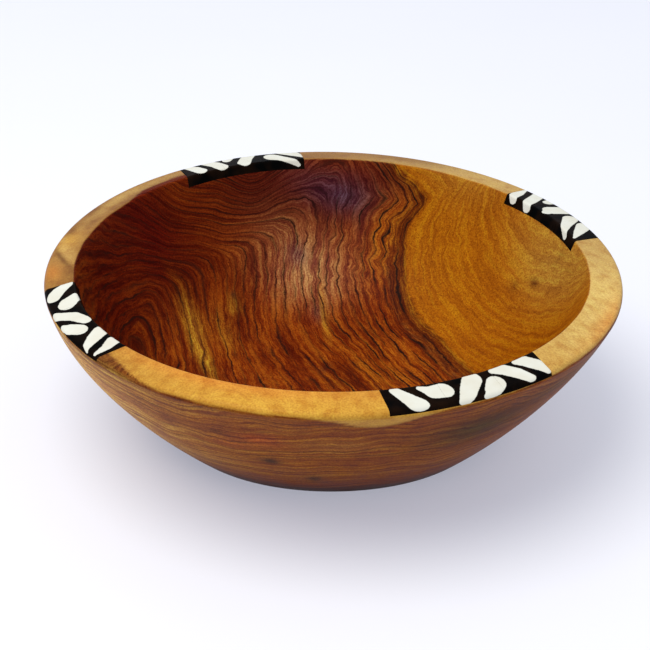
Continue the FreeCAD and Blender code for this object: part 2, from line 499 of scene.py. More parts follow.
def make_tile(place, number, outlines):
    inlay = INLAYS[place]
    azimuths, tile_outlines, _ = outlines
    at_start = GLUE_THICKNESS if number == 1 else SEAM_THICKNESS / 2
    at_end = GLUE_THICKNESS if number == TILES_PER_INLAY else SEAM_THICKNESS / 2
    width = 2 * inlay[1] / TILES_PER_INLAY
    edge = TILE_EDGE_ROUNDING * np.array(TILE_EDGE_COLUMNS) / width
    inside = np.linspace(edge[-1], 1 - edge[-1], int(width / TILE_COLUMN_STEP))
    shares = np.concatenate([edge[:-1], inside, 1 - edge[:-1][::-1]])
    short = np.clip(TILE_EDGE_ROUNDING - np.minimum(shares, 1 - shares) * width, 0, None)
    sink = TILE_EDGE_ROUNDING - np.sqrt(TILE_EDGE_ROUNDING ** 2 - short ** 2)
    tile = rim_slice(
        "bone_tile_%s_%d_dyed" % (place, number),
        inlay,
        azimuths,
        tile_outlines,
        seam_side(number - 1, at_start),
        seam_side(number, -at_end),
        shares,
        sink,
    )
    mark_piece(tile, place)
    shade_smooth(tile, TILE_SHARP_ANGLE)
    return tile


def make_bed(place, outlines):
    """The glue under an inlay, at both of its ends and in its seams."""
    inlay = INLAYS[place]
    azimuths, tile_outlines, glue_outlines = outlines

    def glue_slice(slice_outlines, start, end, columns, shrink):
        sides = seam_side(*start), seam_side(*end)
        shares = np.linspace(0, 1, columns)
        sink = np.full(columns, shrink)
        return rim_slice("glue", inlay, azimuths, slice_outlines, *sides, shares, sink)

    last = TILES_PER_INLAY
    half_seam = SEAM_THICKNESS / 2
    spans = [((0, 0), (0, GLUE_THICKNESS)), ((last, -GLUE_THICKNESS), (last, 0))]
    for number in range(1, last):
        spans.append(((number, -half_seam), (number, half_seam)))
    parts = [glue_slice(tile_outlines, start, end, 2, GLUE_SHRINK) for start, end in spans]
    parts.append(glue_slice(glue_outlines, (0, 0), (last, 0), BED_COLUMNS, 0.0))
    bed = join("adhesive_bed_%s_set" % place, parts)
    mark_piece(bed, place)
    return bed


def beyond_middle(azimuth, reach, height):
    """Whether points are nearer the outer wall than the hollow."""
    return reach > (hollow_reach(azimuth, height) + wall_reach(azimuth, height)) / 2


def across_rim(azimuth, reach, height):
    """Distance across the rim from its inner edge, running on down both sides of the rim."""
    inner = inner_edge(azimuth)[:, 0]
    ridge = ridge_corner(azimuth)[:, 0]
    share = (reach - inner) / (ridge - inner)
    drop = crown_height(azimuth, reach) - height
    rate = np.where(beyond_middle(azimuth, reach, height), OUTSIDE_RATE, INSIDE_RATE)
    return share * PAINTED_WIDTH + rate * drop


def polar(points):
    azimuth = np.degrees(np.arctan2(points[:, 1], points[:, 0])) % 360
    return azimuth, np.hypot(points[:, 0], points[:, 1])


def mark_piece(piece, place):
    """Stores how far each vertex is from an undyed stroke."""
    points = positions(piece)
    azimuth, reach = polar(points)
    across = across_rim(azimuth, reach, points[:, 2])
    along = reach * np.sin(np.radians(azimuth - INLAYS[place][0]))
    set_attribute(piece, "mark", mark_distance(place, along, across))


FAR_FROM_MARKS = 20.0

# Undyed strokes on each inlay, as chains of (along, across, half-width) in millimetres. Along
# runs anticlockwise from the inlay's middle, and across runs outwards from the rim's inner edge.
MARKS = {
    "front_right": [
        [(-27.8, 2.2, 2.3), (-25.3, 7.0, 3.4), (-23.8, 10.0, 4.2)],
        [(-18.6, 2.0, 1.2), (-14.8, 5.0, 3.4), (-10.6, 5.0, 3.8)],
        [(3.0, 2.8, 3.8), (-1.2, 7.2, 3.3), (-5.8, 13.0, 2.6)],
        [(10.6, 7.9, 3.9), (7.6, 11.0, 3.6), (4.6, 13.2, 2.2)],
        [(13.0, 1.6, 1.4), (18.0, 3.0, 2.9), (22.3, 7.0, 2.9), (25.4, 11.4, 2.3)],
        [(24.6, 1.4, 1.2), (29.0, 3.0, 2.9), (32.8, 7.0, 2.9), (34.6, 11.6, 1.6)],
    ],
    "left": [
        [(-30.2, 3.2, 2.6), (-27.0, 7.5, 3.4), (-22.8, 10.8, 3.6)],
        [(-17.6, 1.0, 3.2), (-14.8, 5.0, 4.2), (-13.4, 6.2, 3.8)],
        [(3.0, 2.8, 2.6), (-2.6, 6.0, 3.2), (-7.4, 13.4, 2.8)],
        [(8.4, 8.2, 3.9), (6.0, 11.0, 3.8), (3.4, 13.4, 2.4)],
        [(14.6, 1.0, 3.4), (18.0, 6.0, 2.8), (22.0, 11.0, 1.7), (25.2, 14.0, 0.6)],
        [(24.4, 1.0, 2.8), (27.4, 6.0, 1.9), (29.6, 12.6, 0.6)],
    ],
    "back_left": [
        [(-31.0, 4.5, 1.9), (-28.0, 9.0, 3.6), (-24.5, 13.0, 4.4)],
        [(-26.8, -2.6, 1.1), (-21.0, 2.0, 3.0), (-16.6, 5.6, 4.5)],
        [(-0.2, 2.6, 3.4), (-3.4, 8.0, 3.0), (-8.0, 13.6, 2.6)],
        [(6.6, 9.8, 2.2), (4.4, 12.8, 2.8)],
        [(12.2, 2.6, 3.6), (13.6, 7.0, 3.4), (17.8, 12.8, 2.8)],
        [(23.2, 3.2, 3.2), (25.0, 7.6, 3.0), (28.4, 12.6, 1.6)],
    ],
    "back_right": [
        [(-27.6, 1.0, 0.7), (-22.6, 5.6, 2.4), (-17.0, 11.2, 3.7)],
        [(-21.4, -2.4, 1.4), (-14.0, 3.4, 2.5), (-8.2, 9.0, 3.7)],
        [(1.4, 2.2, 2.2), (3.0, 6.0, 4.2), (1.6, 12.6, 4.2)],
        [(12.4, 10.4, 2.3), (12.8, 12.8, 2.9)],
        [(12.2, -2.2, 2.2), (16.0, 4.0, 2.7), (22.4, 13.6, 2.7)],
        [(22.0, -1.8, 1.9), (26.0, 4.6, 2.4), (31.0, 12.0, 1.6)],
    ],
}


def mark_distance(place, along, across):
    """Distance to the nearest undyed stroke, less than zero inside it."""
    nearest = np.full(along.shape, FAR_FROM_MARKS)
    for stroke in MARKS[place]:
        for (x0, y0, r0), (x1, y1, r1) in zip(stroke, stroke[1:]):
            dx, dy = x1 - x0, y1 - y0
            share = ((along - x0) * dx + (across - y0) * dy) / (dx * dx + dy * dy)
            share = np.clip(share, 0, 1)
            away = np.hypot(along - x0 - share * dx, across - y0 - share * dy)
            nearest = np.minimum(nearest, away - (r0 + share * (r1 - r0)))
    return nearest


# ----- The wood's figure, as fields over the bowl -----
def ease(low, high, value):
    share = np.clip((value - low) / (high - low), 0, 1)
    return share * share * (3 - 2 * share)


def bump(value, centre, width):
    return np.exp(-(((value - centre) / width) ** 2))


# The line where the heartwood ends on the right, seen from above. It bends towards the front,
# and has a kink with a sharp tip near the back.
EDGE_X = 36.0
EDGE_BEND_Y, EDGE_BEND_ROUNDING = 78.0, 12.0
EDGE_SLANT = 0.48
KINK_TIP_X, KINK_TIP_Y = 46.0, 95.0
KINK_TILT = 0.3
KINK_REACH = 13.0
KINK_RISE = 3.5
KINK_FALL = 0.09
EDGE_RINGS = 138.0            # the growth coordinate on that line
WALL_RINGS = 300.0            # and at the foot of the outer wall

# Growth lines left of it: long arches round a middle line that leans right towards the back
ARCH_X, ARCH_Y = -88.0, -15.0
ARCH_LENGTH = 112.0
ARCH_LEAN, ARCH_LEAN_POWER = 66.0, 3.3
ARCH_TIP, ARCH_TIP_WIDENING = 3.0, 6.0
ARCH_CROWDING = 0.35          # how much closer the lines are on the arches' left
ARCH_FLATNESS = 178.0
ZIGZAG_PERIOD = 6.5


def sapwood_edge(x, y):
    """The x where the heartwood ends."""
    past_tip = y - KINK_TIP_Y - KINK_TILT * (KINK_TIP_X - x)
    rise = KINK_REACH * np.exp(past_tip / KINK_RISE)
    fall = KINK_REACH - past_tip * (1 + KINK_FALL * past_tip)
    kink = np.where(past_tip < 0, rise, fall) * ease(-8, 32, x)
    bend = (np.hypot(y - EDGE_BEND_Y, EDGE_BEND_ROUNDING) - EDGE_BEND_ROUNDING) * (y < EDGE_BEND_Y)
    return EDGE_X + EDGE_SLANT * bend + kink


def arched_rings(x, y):
    rise = np.clip(y - ARCH_Y, 0, None) / ARCH_LENGTH
    offset = x - ARCH_X - ARCH_LEAN * rise ** ARCH_LEAN_POWER
    spread = np.hypot(offset, ARCH_TIP + ARCH_TIP_WIDENING * rise ** 4)
    crowding = 1 + ARCH_CROWDING * (1 - offset / spread)
    return spread * crowding + (y - ARCH_Y) ** 2 / ARCH_FLATNESS


def flame(points, x, y):
    """How far ripples and a zigzag near the back shift the growth lines."""
    ripple = 1.1 * noise_at(points, 5, 4)
    wave = (y + 0.3 * x + 3 * noise_at(points, 20, 5)) / ZIGZAG_PERIOD
    zigzag = (np.abs(wave % 1 - 0.5) * 4 - 1) * (0.9 + 0.8 * noise_at(points, 14, 6))
    near_back = ease(40, 85, y) * ease(-40, -5, x)
    at_back = ease(62, 82, y) * ease(-25, 5, x)
    return near_back * ripple + at_back * zigzag


def growth_rings(points):
    """A coordinate that counts millimetres of growth, and how far points are into the sapwood.

    Equal values of the coordinate lie on one growth line.
    """
    x = points[:, 0] + 1.6 * noise_at(points, 26, 1) + 0.8 * noise_at(points, 9, 2)
    y = points[:, 1] + 2.2 * noise_at(points, 24, 3)
    beyond = x - sapwood_edge(x, y)
    arches = arched_rings(x, y)
    near_edge = ease(-48, 28, x)
    rings = arches + (beyond + EDGE_RINGS - arches) * near_edge + flame(points, x, y)
    return rings, beyond


def wall_streaks(points):
    """The growth coordinate on the outer wall, where the lines run nearly level."""
    wave = 9 * noise_at(points * [1, 1, 1.4], 60, 21) + 3.8 * noise_at(points, 18, 22)
    return WALL_RINGS + 1.25 * points[:, 2] + wave


def blend(colours, colour, weight):
    """Colours part of the way to another colour, or to a colour for each point."""
    return colours + (np.array(colour) - colours) * weight[:, None]


def blend_spots(colours, u, v, spots):
    """Soft oval spots of colour: (u, v, half-width, half-height, turn, strength, colour)."""
    for u0, v0, half_u, half_v, turn, strength, colour in spots:
        cos, sin = math.cos(math.radians(turn)), math.sin(math.radians(turn))
        du = (u - u0) * cos + (v - v0) * sin
        dv = (v - v0) * cos - (u - u0) * sin
        weight = strength * np.exp(-((du / half_u) ** 2) - (dv / half_v) ** 2)
        colours = blend(colours, colour, weight)
    return colours


# Colours of the wood, as linear red, green and blue
HEART = (0.180, 0.026, 0.0015)
HEART_BROWN = (0.125, 0.026, 0.0018)
# Maroon heartwood; on the hollow's left and by the back rim it also holds painted shade.
HEART_MAROON_AND_SHADE = (0.070, 0.0022, 0.0004)
# Dark heartwood with painted shade, along the back just under the rim.
HEART_DARK_AND_SHADE = (0.056, 0.0020, 0.0008)
HEART_PURPLE = (0.042, 0.019, 0.0340)
HEART_SMOKE = (0.340, 0.118, 0.0440)
HEART_GOLD = (0.390, 0.160, 0.0120)
HEART_ORANGE = (0.290, 0.062, 0.0030)
SAPWOOD = (0.295, 0.083, 0.0018)
SAPWOOD_PALE = (0.340, 0.170, 0.0240)
SAPWOOD_DEEP = (0.220, 0.052, 0.0008)
RIM_GOLD = (0.480, 0.238, 0.027)
RIM_ORANGE = (0.500, 0.170, 0.022)
# Pale rim wood, also used as painted sheen on the rim's right and back right.
RIM_PALE_AND_SHEEN = (0.515, 0.335, 0.095)
# Tan rim wood; at the back, where no spot lies, it also holds painted shade and sheen.
RIM_TAN_AND_SHADE = (0.250, 0.115, 0.026)
RIM_BROWN = (0.150, 0.055, 0.010)
RIM_OLIVE = (0.110, 0.040, 0.007)
WALL_BROWN = (0.240, 0.061, 0.0045)
WALL_PAINTED_SHEEN = (0.640, 0.300, 0.0640)
# Painted sheen: the grey haze where the outer wall reflects the white table.
WALL_DARK = (0.140, 0.021, 0.0018)
WALL_SMOKE = (0.052, 0.022, 0.0035)
WALL_RED = (0.290, 0.038, 0.0060)
# Painted shade: near-black wood just above the foot, where the table shades the wall.
FOOT_PAINTED_SHADE = (0.030, 0.0050, 0.0010)
KNOT = (0.016, 0.007, 0.005)
GUM = (0.060, 0.010, 0.003)

# Spots over the hollow, seen from above: x, y, half-width, half-depth, turn, strength, colour
HOLLOW_SPOTS = [
    # Maroon on the left: the wood's colour with painted shade of the hollow's left wall.
    (-86, 58, 38, 27, 40, 0.97, HEART_MAROON_AND_SHADE),
    (-99, 5, 19, 50, 8, 0.88, HEART_MAROON_AND_SHADE),
    # Dark and maroon spots just under the back rim: dark heartwood with painted shade.
    (-34, 102, 40, 12, 10, 0.95, HEART_DARK_AND_SHADE),
    (-12, 82, 22, 14, 0, 0.85, HEART_SMOKE),
    (-17, 87, 5, 4, 0, 0.55, HEART_PURPLE),
    (10, 104, 24, 7, -6, 0.60, HEART_MAROON_AND_SHADE),
    (8, 105, 24, 5, -6, 0.78, HEART_PURPLE),
    (16, 95, 5, 8, 0, 0.25, HEART_PURPLE),
    # More painted shade on dark heartwood under the back rim.
    (26, 106, 18, 4, -16, 0.75, HEART_DARK_AND_SHADE),
    (30, 90, 15, 12, 0, 0.85, HEART_ORANGE),
    (-6, 62, 4, 7, 0, 0.35, HEART_PURPLE),
    (-61, 19, 3.2, 20, 19, 0.95, HEART_GOLD),
    (-67, 38, 4.5, 9, 24, 0.45, HEART_GOLD),
    (-50, 36, 5.0, 12, 15, 0.20, HEART_GOLD),
    (-75, 52, 5, 2.5, 0, 0.50, HEART_ORANGE),
    (-47, 56, 3, 5, 0, 0.55, HEART_GOLD),
    (-48, 61, 1.3, 1.8, 0, 0.80, KNOT),
    (26, 14, 22, 26, 0, 0.45, HEART_ORANGE),
    (-3, 60, 1.8, 16, 8, 0.45, HEART_GOLD),
    (-2, 17, 2.0, 4.5, -20, 0.60, KNOT),
    (5, 3, 6, 4, 0, 0.55, HEART_BROWN),
]
SAPWOOD_SPOTS = [
    (106, 18, 10, 40, 18, 0.80, SAPWOOD_PALE),
    (66, 98, 26, 8, -40, 0.60, SAPWOOD_PALE),
    (76, -12, 34, 32, 0, 0.65, SAPWOOD_DEEP),
    (87, 38, 1.0, 3.0, 24, 0.75, GUM),
    (95, 29, 1.0, 3.6, 24, 0.85, GUM),
    (105, 25, 0.9, 1.6, 20, 0.70, GUM),
]

# Spots over the rim: azimuth, across, half-widths, turn, strength, colour. The whole list is
# laid on three times, a turn apart, so the last spots of one turn lie under those of the next.
RIM_SPOTS = [
    (270, 7, 58, 30, 0, 1.00, RIM_GOLD),
    (250, 1, 28, 4.5, 0, 0.70, RIM_ORANGE),
    (290, 3, 14, 4, 0, 0.35, RIM_ORANGE),
    # Painted sheen: the rim's right side pales where it reflects the white surroundings.
    (348, 7, 36, 30, 0, 1.00, RIM_PALE_AND_SHEEN),
    (336, 12, 10, 4, 0, 0.55, RIM_ORANGE),
    (284, 7, 20, 30, 0, 0.12, RIM_TAN_AND_SHADE),
    (365, 8, 10, 30, 0, 0.25, RIM_TAN_AND_SHADE),
    # Pale at the back right, partly painted sheen.
    (52, 7, 26, 30, 0, 0.60, RIM_PALE_AND_SHEEN),
    (72, 9, 13, 5, 0, 0.60, RIM_BROWN),
    (95, 4, 8, 5, 0, 0.50, RIM_BROWN),
    (152, 8, 22, 4, 0, 0.45, RIM_PALE_AND_SHEEN),
    (140, 1, 18, 4, 0, 0.75, RIM_BROWN),
    (150, 15, 26, 3, 0, 0.60, RIM_BROWN),
    (163, 8, 10, 30, 0, 0.45, RIM_TAN_AND_SHADE),
    (172, 9, 5, 6, 0, 0.55, RIM_GOLD),
    (166, 12, 4, 3.5, 0, 0.80, RIM_BROWN),
    (156, 11.5, 4, 3.5, 0, 0.75, RIM_BROWN),
    (162, 5, 3, 2.5, 0, 0.45, RIM_BROWN),
    (178, 6, 2.2, 9, 42, 0.45, RIM_PALE_AND_SHEEN),
    (181, 7, 1.0, 9, 42, 0.85, RIM_OLIVE),
    (187, 10, 3.5, 5, 30, 0.50, RIM_ORANGE),
    (188, 2, 3, 4, 20, 0.65, RIM_BROWN),
    (195, 3, 5, 9, 0, 0.62, RIM_BROWN),
]

# Spots over the outer wall: azimuth, height, half-widths, turn, strength, colour
WALL_SPOTS = [
    # Painted sheen on the left of the outer wall.
    (208, 55, 24, 40, 0, 0.90, WALL_PAINTED_SHEEN),
    (224, 78, 17, 4, 0, 0.80, RIM_OLIVE),
    (305, 40, 40, 90, 0, 0.55, WALL_DARK),
    (256, 53, 5, 5, 0, 0.70, WALL_RED),
    (248, 46, 5, 3, 0, 0.50, WALL_RED),
    # A faint painted sheen at the front.
    (272, 50, 8, 5, 0, 0.15, WALL_PAINTED_SHEEN),
    (303, 52, 12, 13, 0, 0.90, WALL_SMOKE),
    (320, 62, 8, 7, 0, 0.50, WALL_SMOKE),
    (338, 66, 9, 12, 0, 0.60, WALL_SMOKE),
    (256, 34, 2.4, 2.8, 0, 0.90, KNOT),
    (266, 18, 2.2, 3.0, 0, 0.75, KNOT),
    (247, 55, 1.5, 1.0, 0, 0.60, KNOT),
    (30, 40, 40, 20, 0, 0.50, WALL_SMOKE),
    (130, 45, 35, 20, 0, 0.40, WALL_RED),
]

# The light wood starts at the rim's inner edge and ends a little way down the outer wall
LIGHT_RAGGEDNESS = 0.7
LIGHT_OVERHANG = 0.8
LIGHT_LATE_START = 4.2        # at the back left
LIGHT_EARLY_END = 8.0         # at the front left
LIGHT_TONGUE = 8.5            # how much later it ends just right of the front

# How strongly growth lines show
RIM_FIGURE = 0.04
WALL_FIGURE = 0.60
SAPWOOD_FIGURE = 0.13

UNDERNEATH = 0.1              # points lower than this are on the foot's flat face


def paint_hollow(points, rings, beyond):
    """Colours of the hollow, and how strongly its growth lines show."""
    x, y, height = points.T
    heart = np.tile(HEART, (len(points), 1))
    heart = blend_spots(heart, x, y, HOLLOW_SPOTS)
    along_lines = np.stack([3 * rings, y, height], -1)
    blotches = ease(-0.1, 0.6, noise_at(along_lines, 26, 31))
    # Maroon blotches, stronger towards the left: partly painted shade of the hollow's left wall.
    heart = blend(heart, HEART_MAROON_AND_SHADE, 0.5 * blotches * ease(85, 15, x + y))
    heart = blend(heart, HEART_BROWN, 0.9 * bump(beyond, -1, 6))
    heart = blend(heart, KNOT, 0.55 * bump(beyond, -8, 1.1) * ease(90, 75, y))
    heart = blend(heart, KNOT, 0.35 * bump(beyond, -5, 0.7) * ease(70, 40, y))
    sapwood = np.tile(SAPWOOD, (len(points), 1))
    sapwood = blend_spots(sapwood, x, y, SAPWOOD_SPOTS)
    in_sapwood = ease(-0.8, 1.2, beyond)
    figure = 1 - 0.20 * bump(np.hypot((x + 85) / 1.5, y - 60), 0, 34)
    figure = figure * (1 + 0.35 * ease(-5, 30, x))
    figure = figure * (1 - in_sapwood) + SAPWOOD_FIGURE * in_sapwood
    return blend(heart, sapwood, in_sapwood), figure


def paint_rim(azimuth, across):
    # The tan base at the back of the rim is partly painted shade and sheen.
    rim = np.tile(RIM_TAN_AND_SHADE, (len(azimuth), 1))
    for turn in (-360, 0, 360):
        rim = blend_spots(rim, azimuth + turn, across, RIM_SPOTS)
    return rim


def paint_wall(azimuth, reach, height):
    """Colours of the outer wall and of the foot's flat face, darker towards the foot, with painted
    shade beside the foot's corner.
    """
    wall = blend(np.tile(WALL_BROWN, (len(height), 1)), WALL_DARK, ease(30, 4, height))
    wall = blend_spots(wall, azimuth, height, WALL_SPOTS)
    wall = blend(wall, WALL_BROWN, 0.8 * (height < UNDERNEATH))
    # Painted shade beside the foot's corner, where the wall meets the table.
    near_corner = ease(0.80, 0.98, reach / wall_reach(azimuth, 0 * height))
    return blend(wall, FOOT_PAINTED_SHADE, 0.9 * ease(11, 2, height) * near_corner)


def light_wood_edges(points, azimuth):
    """Distances across the rim at which its light wood starts and ends."""
    ragged = LIGHT_RAGGEDNESS * noise_at(points, 12, 12)
    back_left = ease(112, 122, azimuth) * ease(150, 140, azimuth)
    front_left = ease(240, 222, azimuth) - ease(215, 200, azimuth)
    front = bump(azimuth, 279, 8)
    start = LIGHT_LATE_START * back_left + 0.5 * ragged
    end = PAINTED_WIDTH + LIGHT_OVERHANG + ragged
    return start, end + LIGHT_TONGUE * front - LIGHT_EARLY_END * front_left


def paint_wood(bowl):
    """Stores the wood's colour, its growth coordinate and the region each vertex is in."""
    points = positions(bowl)
    azimuth, reach = polar(points)
    height = points[:, 2]
    across = across_rim(azimuth, reach, height)
    underneath = height < UNDERNEATH
    outside = beyond_middle(azimuth, reach, height) | underneath
    rings, beyond = growth_rings(points)
    hollow, hollow_figure = paint_hollow(points, rings, beyond)
    start, end = light_wood_edges(points, azimuth)
    in_light = ease(0.9, -0.5, across - end) * ~underneath
    in_hollow = ease(0.4, -0.4, across - start) * ~outside
    # A dark band on the outer wall just below the light wood: partly the wood's own dark edge,
    # partly painted shade under the ridge.
    shade_below_light = bump(across - end, 1.6, 1.8) * outside
    on_wall = outside & (across > PAINTED_WIDTH) & ~underneath

    colour = blend(paint_wall(azimuth, reach, height), paint_rim(azimuth, across), in_light)
    colour = blend(colour, WALL_DARK, 0.45 * shade_below_light)
    colour = blend(colour, hollow, in_hollow)
    figure = WALL_FIGURE + (RIM_FIGURE - WALL_FIGURE) * in_light
    figure = figure + (hollow_figure - figure) * in_hollow
    set_colour(bowl, "tint", colour)
    set_attribute(bowl, "figure", figure)
    set_attribute(bowl, "ring", np.where(on_wall, wall_streaks(points), rings))
    set_attribute(bowl, "wall", np.where(outside, 1 - in_light, 0.0))
    set_attribute(bowl, "rim", in_light * (1 - in_hollow))


# ----- Materials -----
class Nodes:
    """Short calls that add nodes to one material."""

    def __init__(self, name):
        self.material = bpy.data.materials.new(name)
        self.material.use_nodes = True
        self.tree = self.material.node_tree
        self.tree.nodes.clear()

    def add(self, kind, **settings):
        node = self.tree.nodes.new("ShaderNode" + kind)
        for key, value in settings.items():
            setattr(node, key, value)
        return node

    def feed(self, socket, value):
        if isinstance(value, bpy.types.NodeSocket):
            self.tree.links.new(value, socket)
        elif value is not None:
            if socket.type == "RGBA" and len(value) == 3:
                value = (*value, 1.0)
            socket.default_value = value

    def attribute(self, name):
        return self.add("Attribute", attribute_name=name).outputs["Fac"]

    def colour_attribute(self, name):
        return self.add("Attribute", attribute_name=name).outputs["Color"]

    def position(self):
        """Position in millimetres."""
        where = self.add("TexCoord").outputs["Object"]
        return self.vector("SCALE", where, scale=1 / MM)

    def math(self, operation, first, second=None, third=None, clamp=False):
        node = self.add("Math", operation=operation, use_clamp=clamp)
        for socket, value in zip(node.inputs, (first, second, third)):
            self.feed(socket, value)
        return node.outputs[0]

    def vector(self, operation, first, second=None, scale=None):
        node = self.add("VectorMath", operation=operation)
        self.feed(node.inputs[0], first)
        self.feed(node.inputs[1], second)
        self.feed(node.inputs[3], scale)
        return node.outputs[0]

    def join(self, x, y, z):
        node = self.add("CombineXYZ")
        for socket, value in zip(node.inputs, (x, y, z)):
            self.feed(socket, value)
        return node.outputs[0]

    def split(self, vector):
        node = self.add("SeparateXYZ")
        self.feed(node.inputs[0], vector)
        return node.outputs

    def noise(self, vector, scale=1.0, detail=2.0, roughness=0.5):
        node = self.add("TexNoise", noise_dimensions="3D")
        self.feed(node.inputs["Vector"], vector)
        self.feed(node.inputs["Scale"], scale)
        self.feed(node.inputs["Detail"], detail)
        self.feed(node.inputs["Roughness"], roughness)
        return node.outputs["Fac"]

    def spread(self, noise, amount, base):
        """Noise about its middle, as an amount on top of a base."""
        return self.math("MULTIPLY_ADD", self.math("SUBTRACT", noise, 0.5), amount, base)

    def ease(self, value, low, high, to_low=0.0, to_high=1.0):
        node = self.add("MapRange", interpolation_type="SMOOTHSTEP")
        for socket, given in zip(node.inputs, (value, low, high, to_low, to_high)):
            self.feed(socket, given)
        return node.outputs[0]

    def mix(self, factor, first, second, blend="MIX"):
        node = self.add("Mix", data_type="RGBA", blend_type=blend)
        self.feed(node.inputs["Factor"], factor)
        self.feed(node.inputs[6], first)
        self.feed(node.inputs[7], second)
        return node.outputs[2]

    def ramp(self, factor, *stops):
        node = self.add("ValToRGB")
        self.feed(node.inputs[0], factor)
        elements = node.color_ramp.elements
        while len(elements) < len(stops):
            elements.new(0.5)
        for element, (place, colour) in zip(elements, stops):
            element.position = place
            element.color = (*colour, 1.0)
        return node.outputs[0]

    def bump(self, height, distance, strength):
        node = self.add("Bump")
        self.feed(node.inputs["Height"], height)
        self.feed(node.inputs["Distance"], distance * MM)
        self.feed(node.inputs["Strength"], strength)
        return node.outputs[0]

    def surface(self, **values):
        shader = self.add("BsdfPrincipled")
        for key, value in values.items():
            self.feed(shader.inputs[key.replace("_", " ")], value)
        output = self.add("OutputMaterial")
        self.tree.links.new(shader.outputs[0], output.inputs[0])
        return self.material


class WoodNodes(Nodes):
    """Nodes for wood, whose growth lines follow the "ring" attribute."""

    def __init__(self, name):
        super().__init__(name)
        self.place = self.position()
        wobble = self.noise(self.vector("MULTIPLY", self.place, WOBBLE_PER_MM))
        ring = self.spread(wobble, 2.4, self.attribute("ring"))
        self.ring = self.spread(self.noise(self.place, JITTER_PER_MM), 1.0, ring)

    def along_grain(self, per_mm, along_mm, seed, detail=1.0):
        """Noise drawn out along the growth lines."""
        _, y, z = self.split(self.place)
        across = self.math("MULTIPLY_ADD", self.ring, per_mm, seed)
        y, z = self.math("MULTIPLY", y, along_mm), self.math("MULTIPLY", z, along_mm)
        return self.noise(self.join(across, y, z), detail=detail)

    def growth_lines(self, period, wander, seed, width):
        """Thin lines on every period of the growth coordinate, and how far on from the last."""
        shift = self.math("SUBTRACT", self.along_grain(0.3 / period, 0.012, seed=seed), 0.5)
        count = self.math("MULTIPLY_ADD", shift, wander, self.math("DIVIDE", self.ring, period))
        part = self.math("FRACT", count)
        middle = self.math("ABSOLUTE", self.math("SUBTRACT", part, 0.5))
        return self.ease(self.math("MULTIPLY", middle, 2.0), 1 - width, 1.0), part

    def times(self, amount, colour, pattern):
        """A colour multiplied by a pattern, by an amount from none to whole."""
        return self.mix(amount, colour, self.mix(1.0, colour, pattern, "MULTIPLY"))


WHITE = (1.0, 1.0, 1.0)
LINE_COLOUR = (0.014, 0.004, 0.0025)
LINE_STRENGTH = 0.72
STRONG_LINE_PERIOD = 4.6      # millimetres of growth from one line to the next
THIN_LINE_PERIOD = 1.5
WOBBLE_PER_MM = (0.16, 0.13, 0.13)
JITTER_PER_MM = 0.75
PORES_PER_MM = 1.3
WOOD_ROUGHNESS = 0.42
HOLLOW_SHEEN = 0.015
WALL_SHEEN, RIM_SHEEN = 0.01, 0.03      # on top of the hollow's
FIBRE_DEPTH = 0.05


def line_darkness(nodes, figure):
    """How far strong lines, thin lines and flecks along the grain darken the wood."""
    strong, since = nodes.growth_lines(STRONG_LINE_PERIOD, 2.2, 4.1, 0.36)
    thin, _ = nodes.growth_lines(THIN_LINE_PERIOD, 2.0, 9.2, 0.8)
    strength = nodes.ease(nodes.along_grain(0.19, 0.05, detail=2.0, seed=2.6), 0.30, 0.66)
    soft = nodes.math("POWER", since, 2.0)
    dark = nodes.math("MULTIPLY", nodes.math("MULTIPLY_ADD", soft, 0.40, strong), strength)
    thin_strength = nodes.ease(nodes.along_grain(0.4, 0.08, seed=8.8), 0.3, 0.7)
    thin = nodes.math("MULTIPLY", thin, thin_strength)
    dark = nodes.math("MULTIPLY_ADD", thin, 0.42, dark)
    flecks = nodes.ease(nodes.along_grain(2.2, 0.35, seed=3.1), 0.60, 0.72)
    dark = nodes.math("MULTIPLY_ADD", flecks, 0.30, dark)
    return nodes.math("MULTIPLY", nodes.math("MULTIPLY", dark, figure), LINE_STRENGTH, clamp=True)


def streaks(nodes, fibre, figure, rim):
    """Light and dark streaks along the grain, which show less on the rim."""
    tone = nodes.along_grain(0.5, 0.03, detail=3.0, seed=7.7)
    grain = nodes.spread(fibre, 0.75, tone)
    streak = nodes.ramp(grain, (0.32, (0.50, 0.32, 0.50)), (0.5, WHITE), (0.68, (1.50, 2.3, 2.2)))
    amount = nodes.ease(figure, 0.0, 1.0, 0.34, 1.0)
    amount = nodes.math("MULTIPLY", amount, nodes.math("MULTIPLY_ADD", rim, -0.75, 1.0))
    return nodes.mix(amount, WHITE, streak)


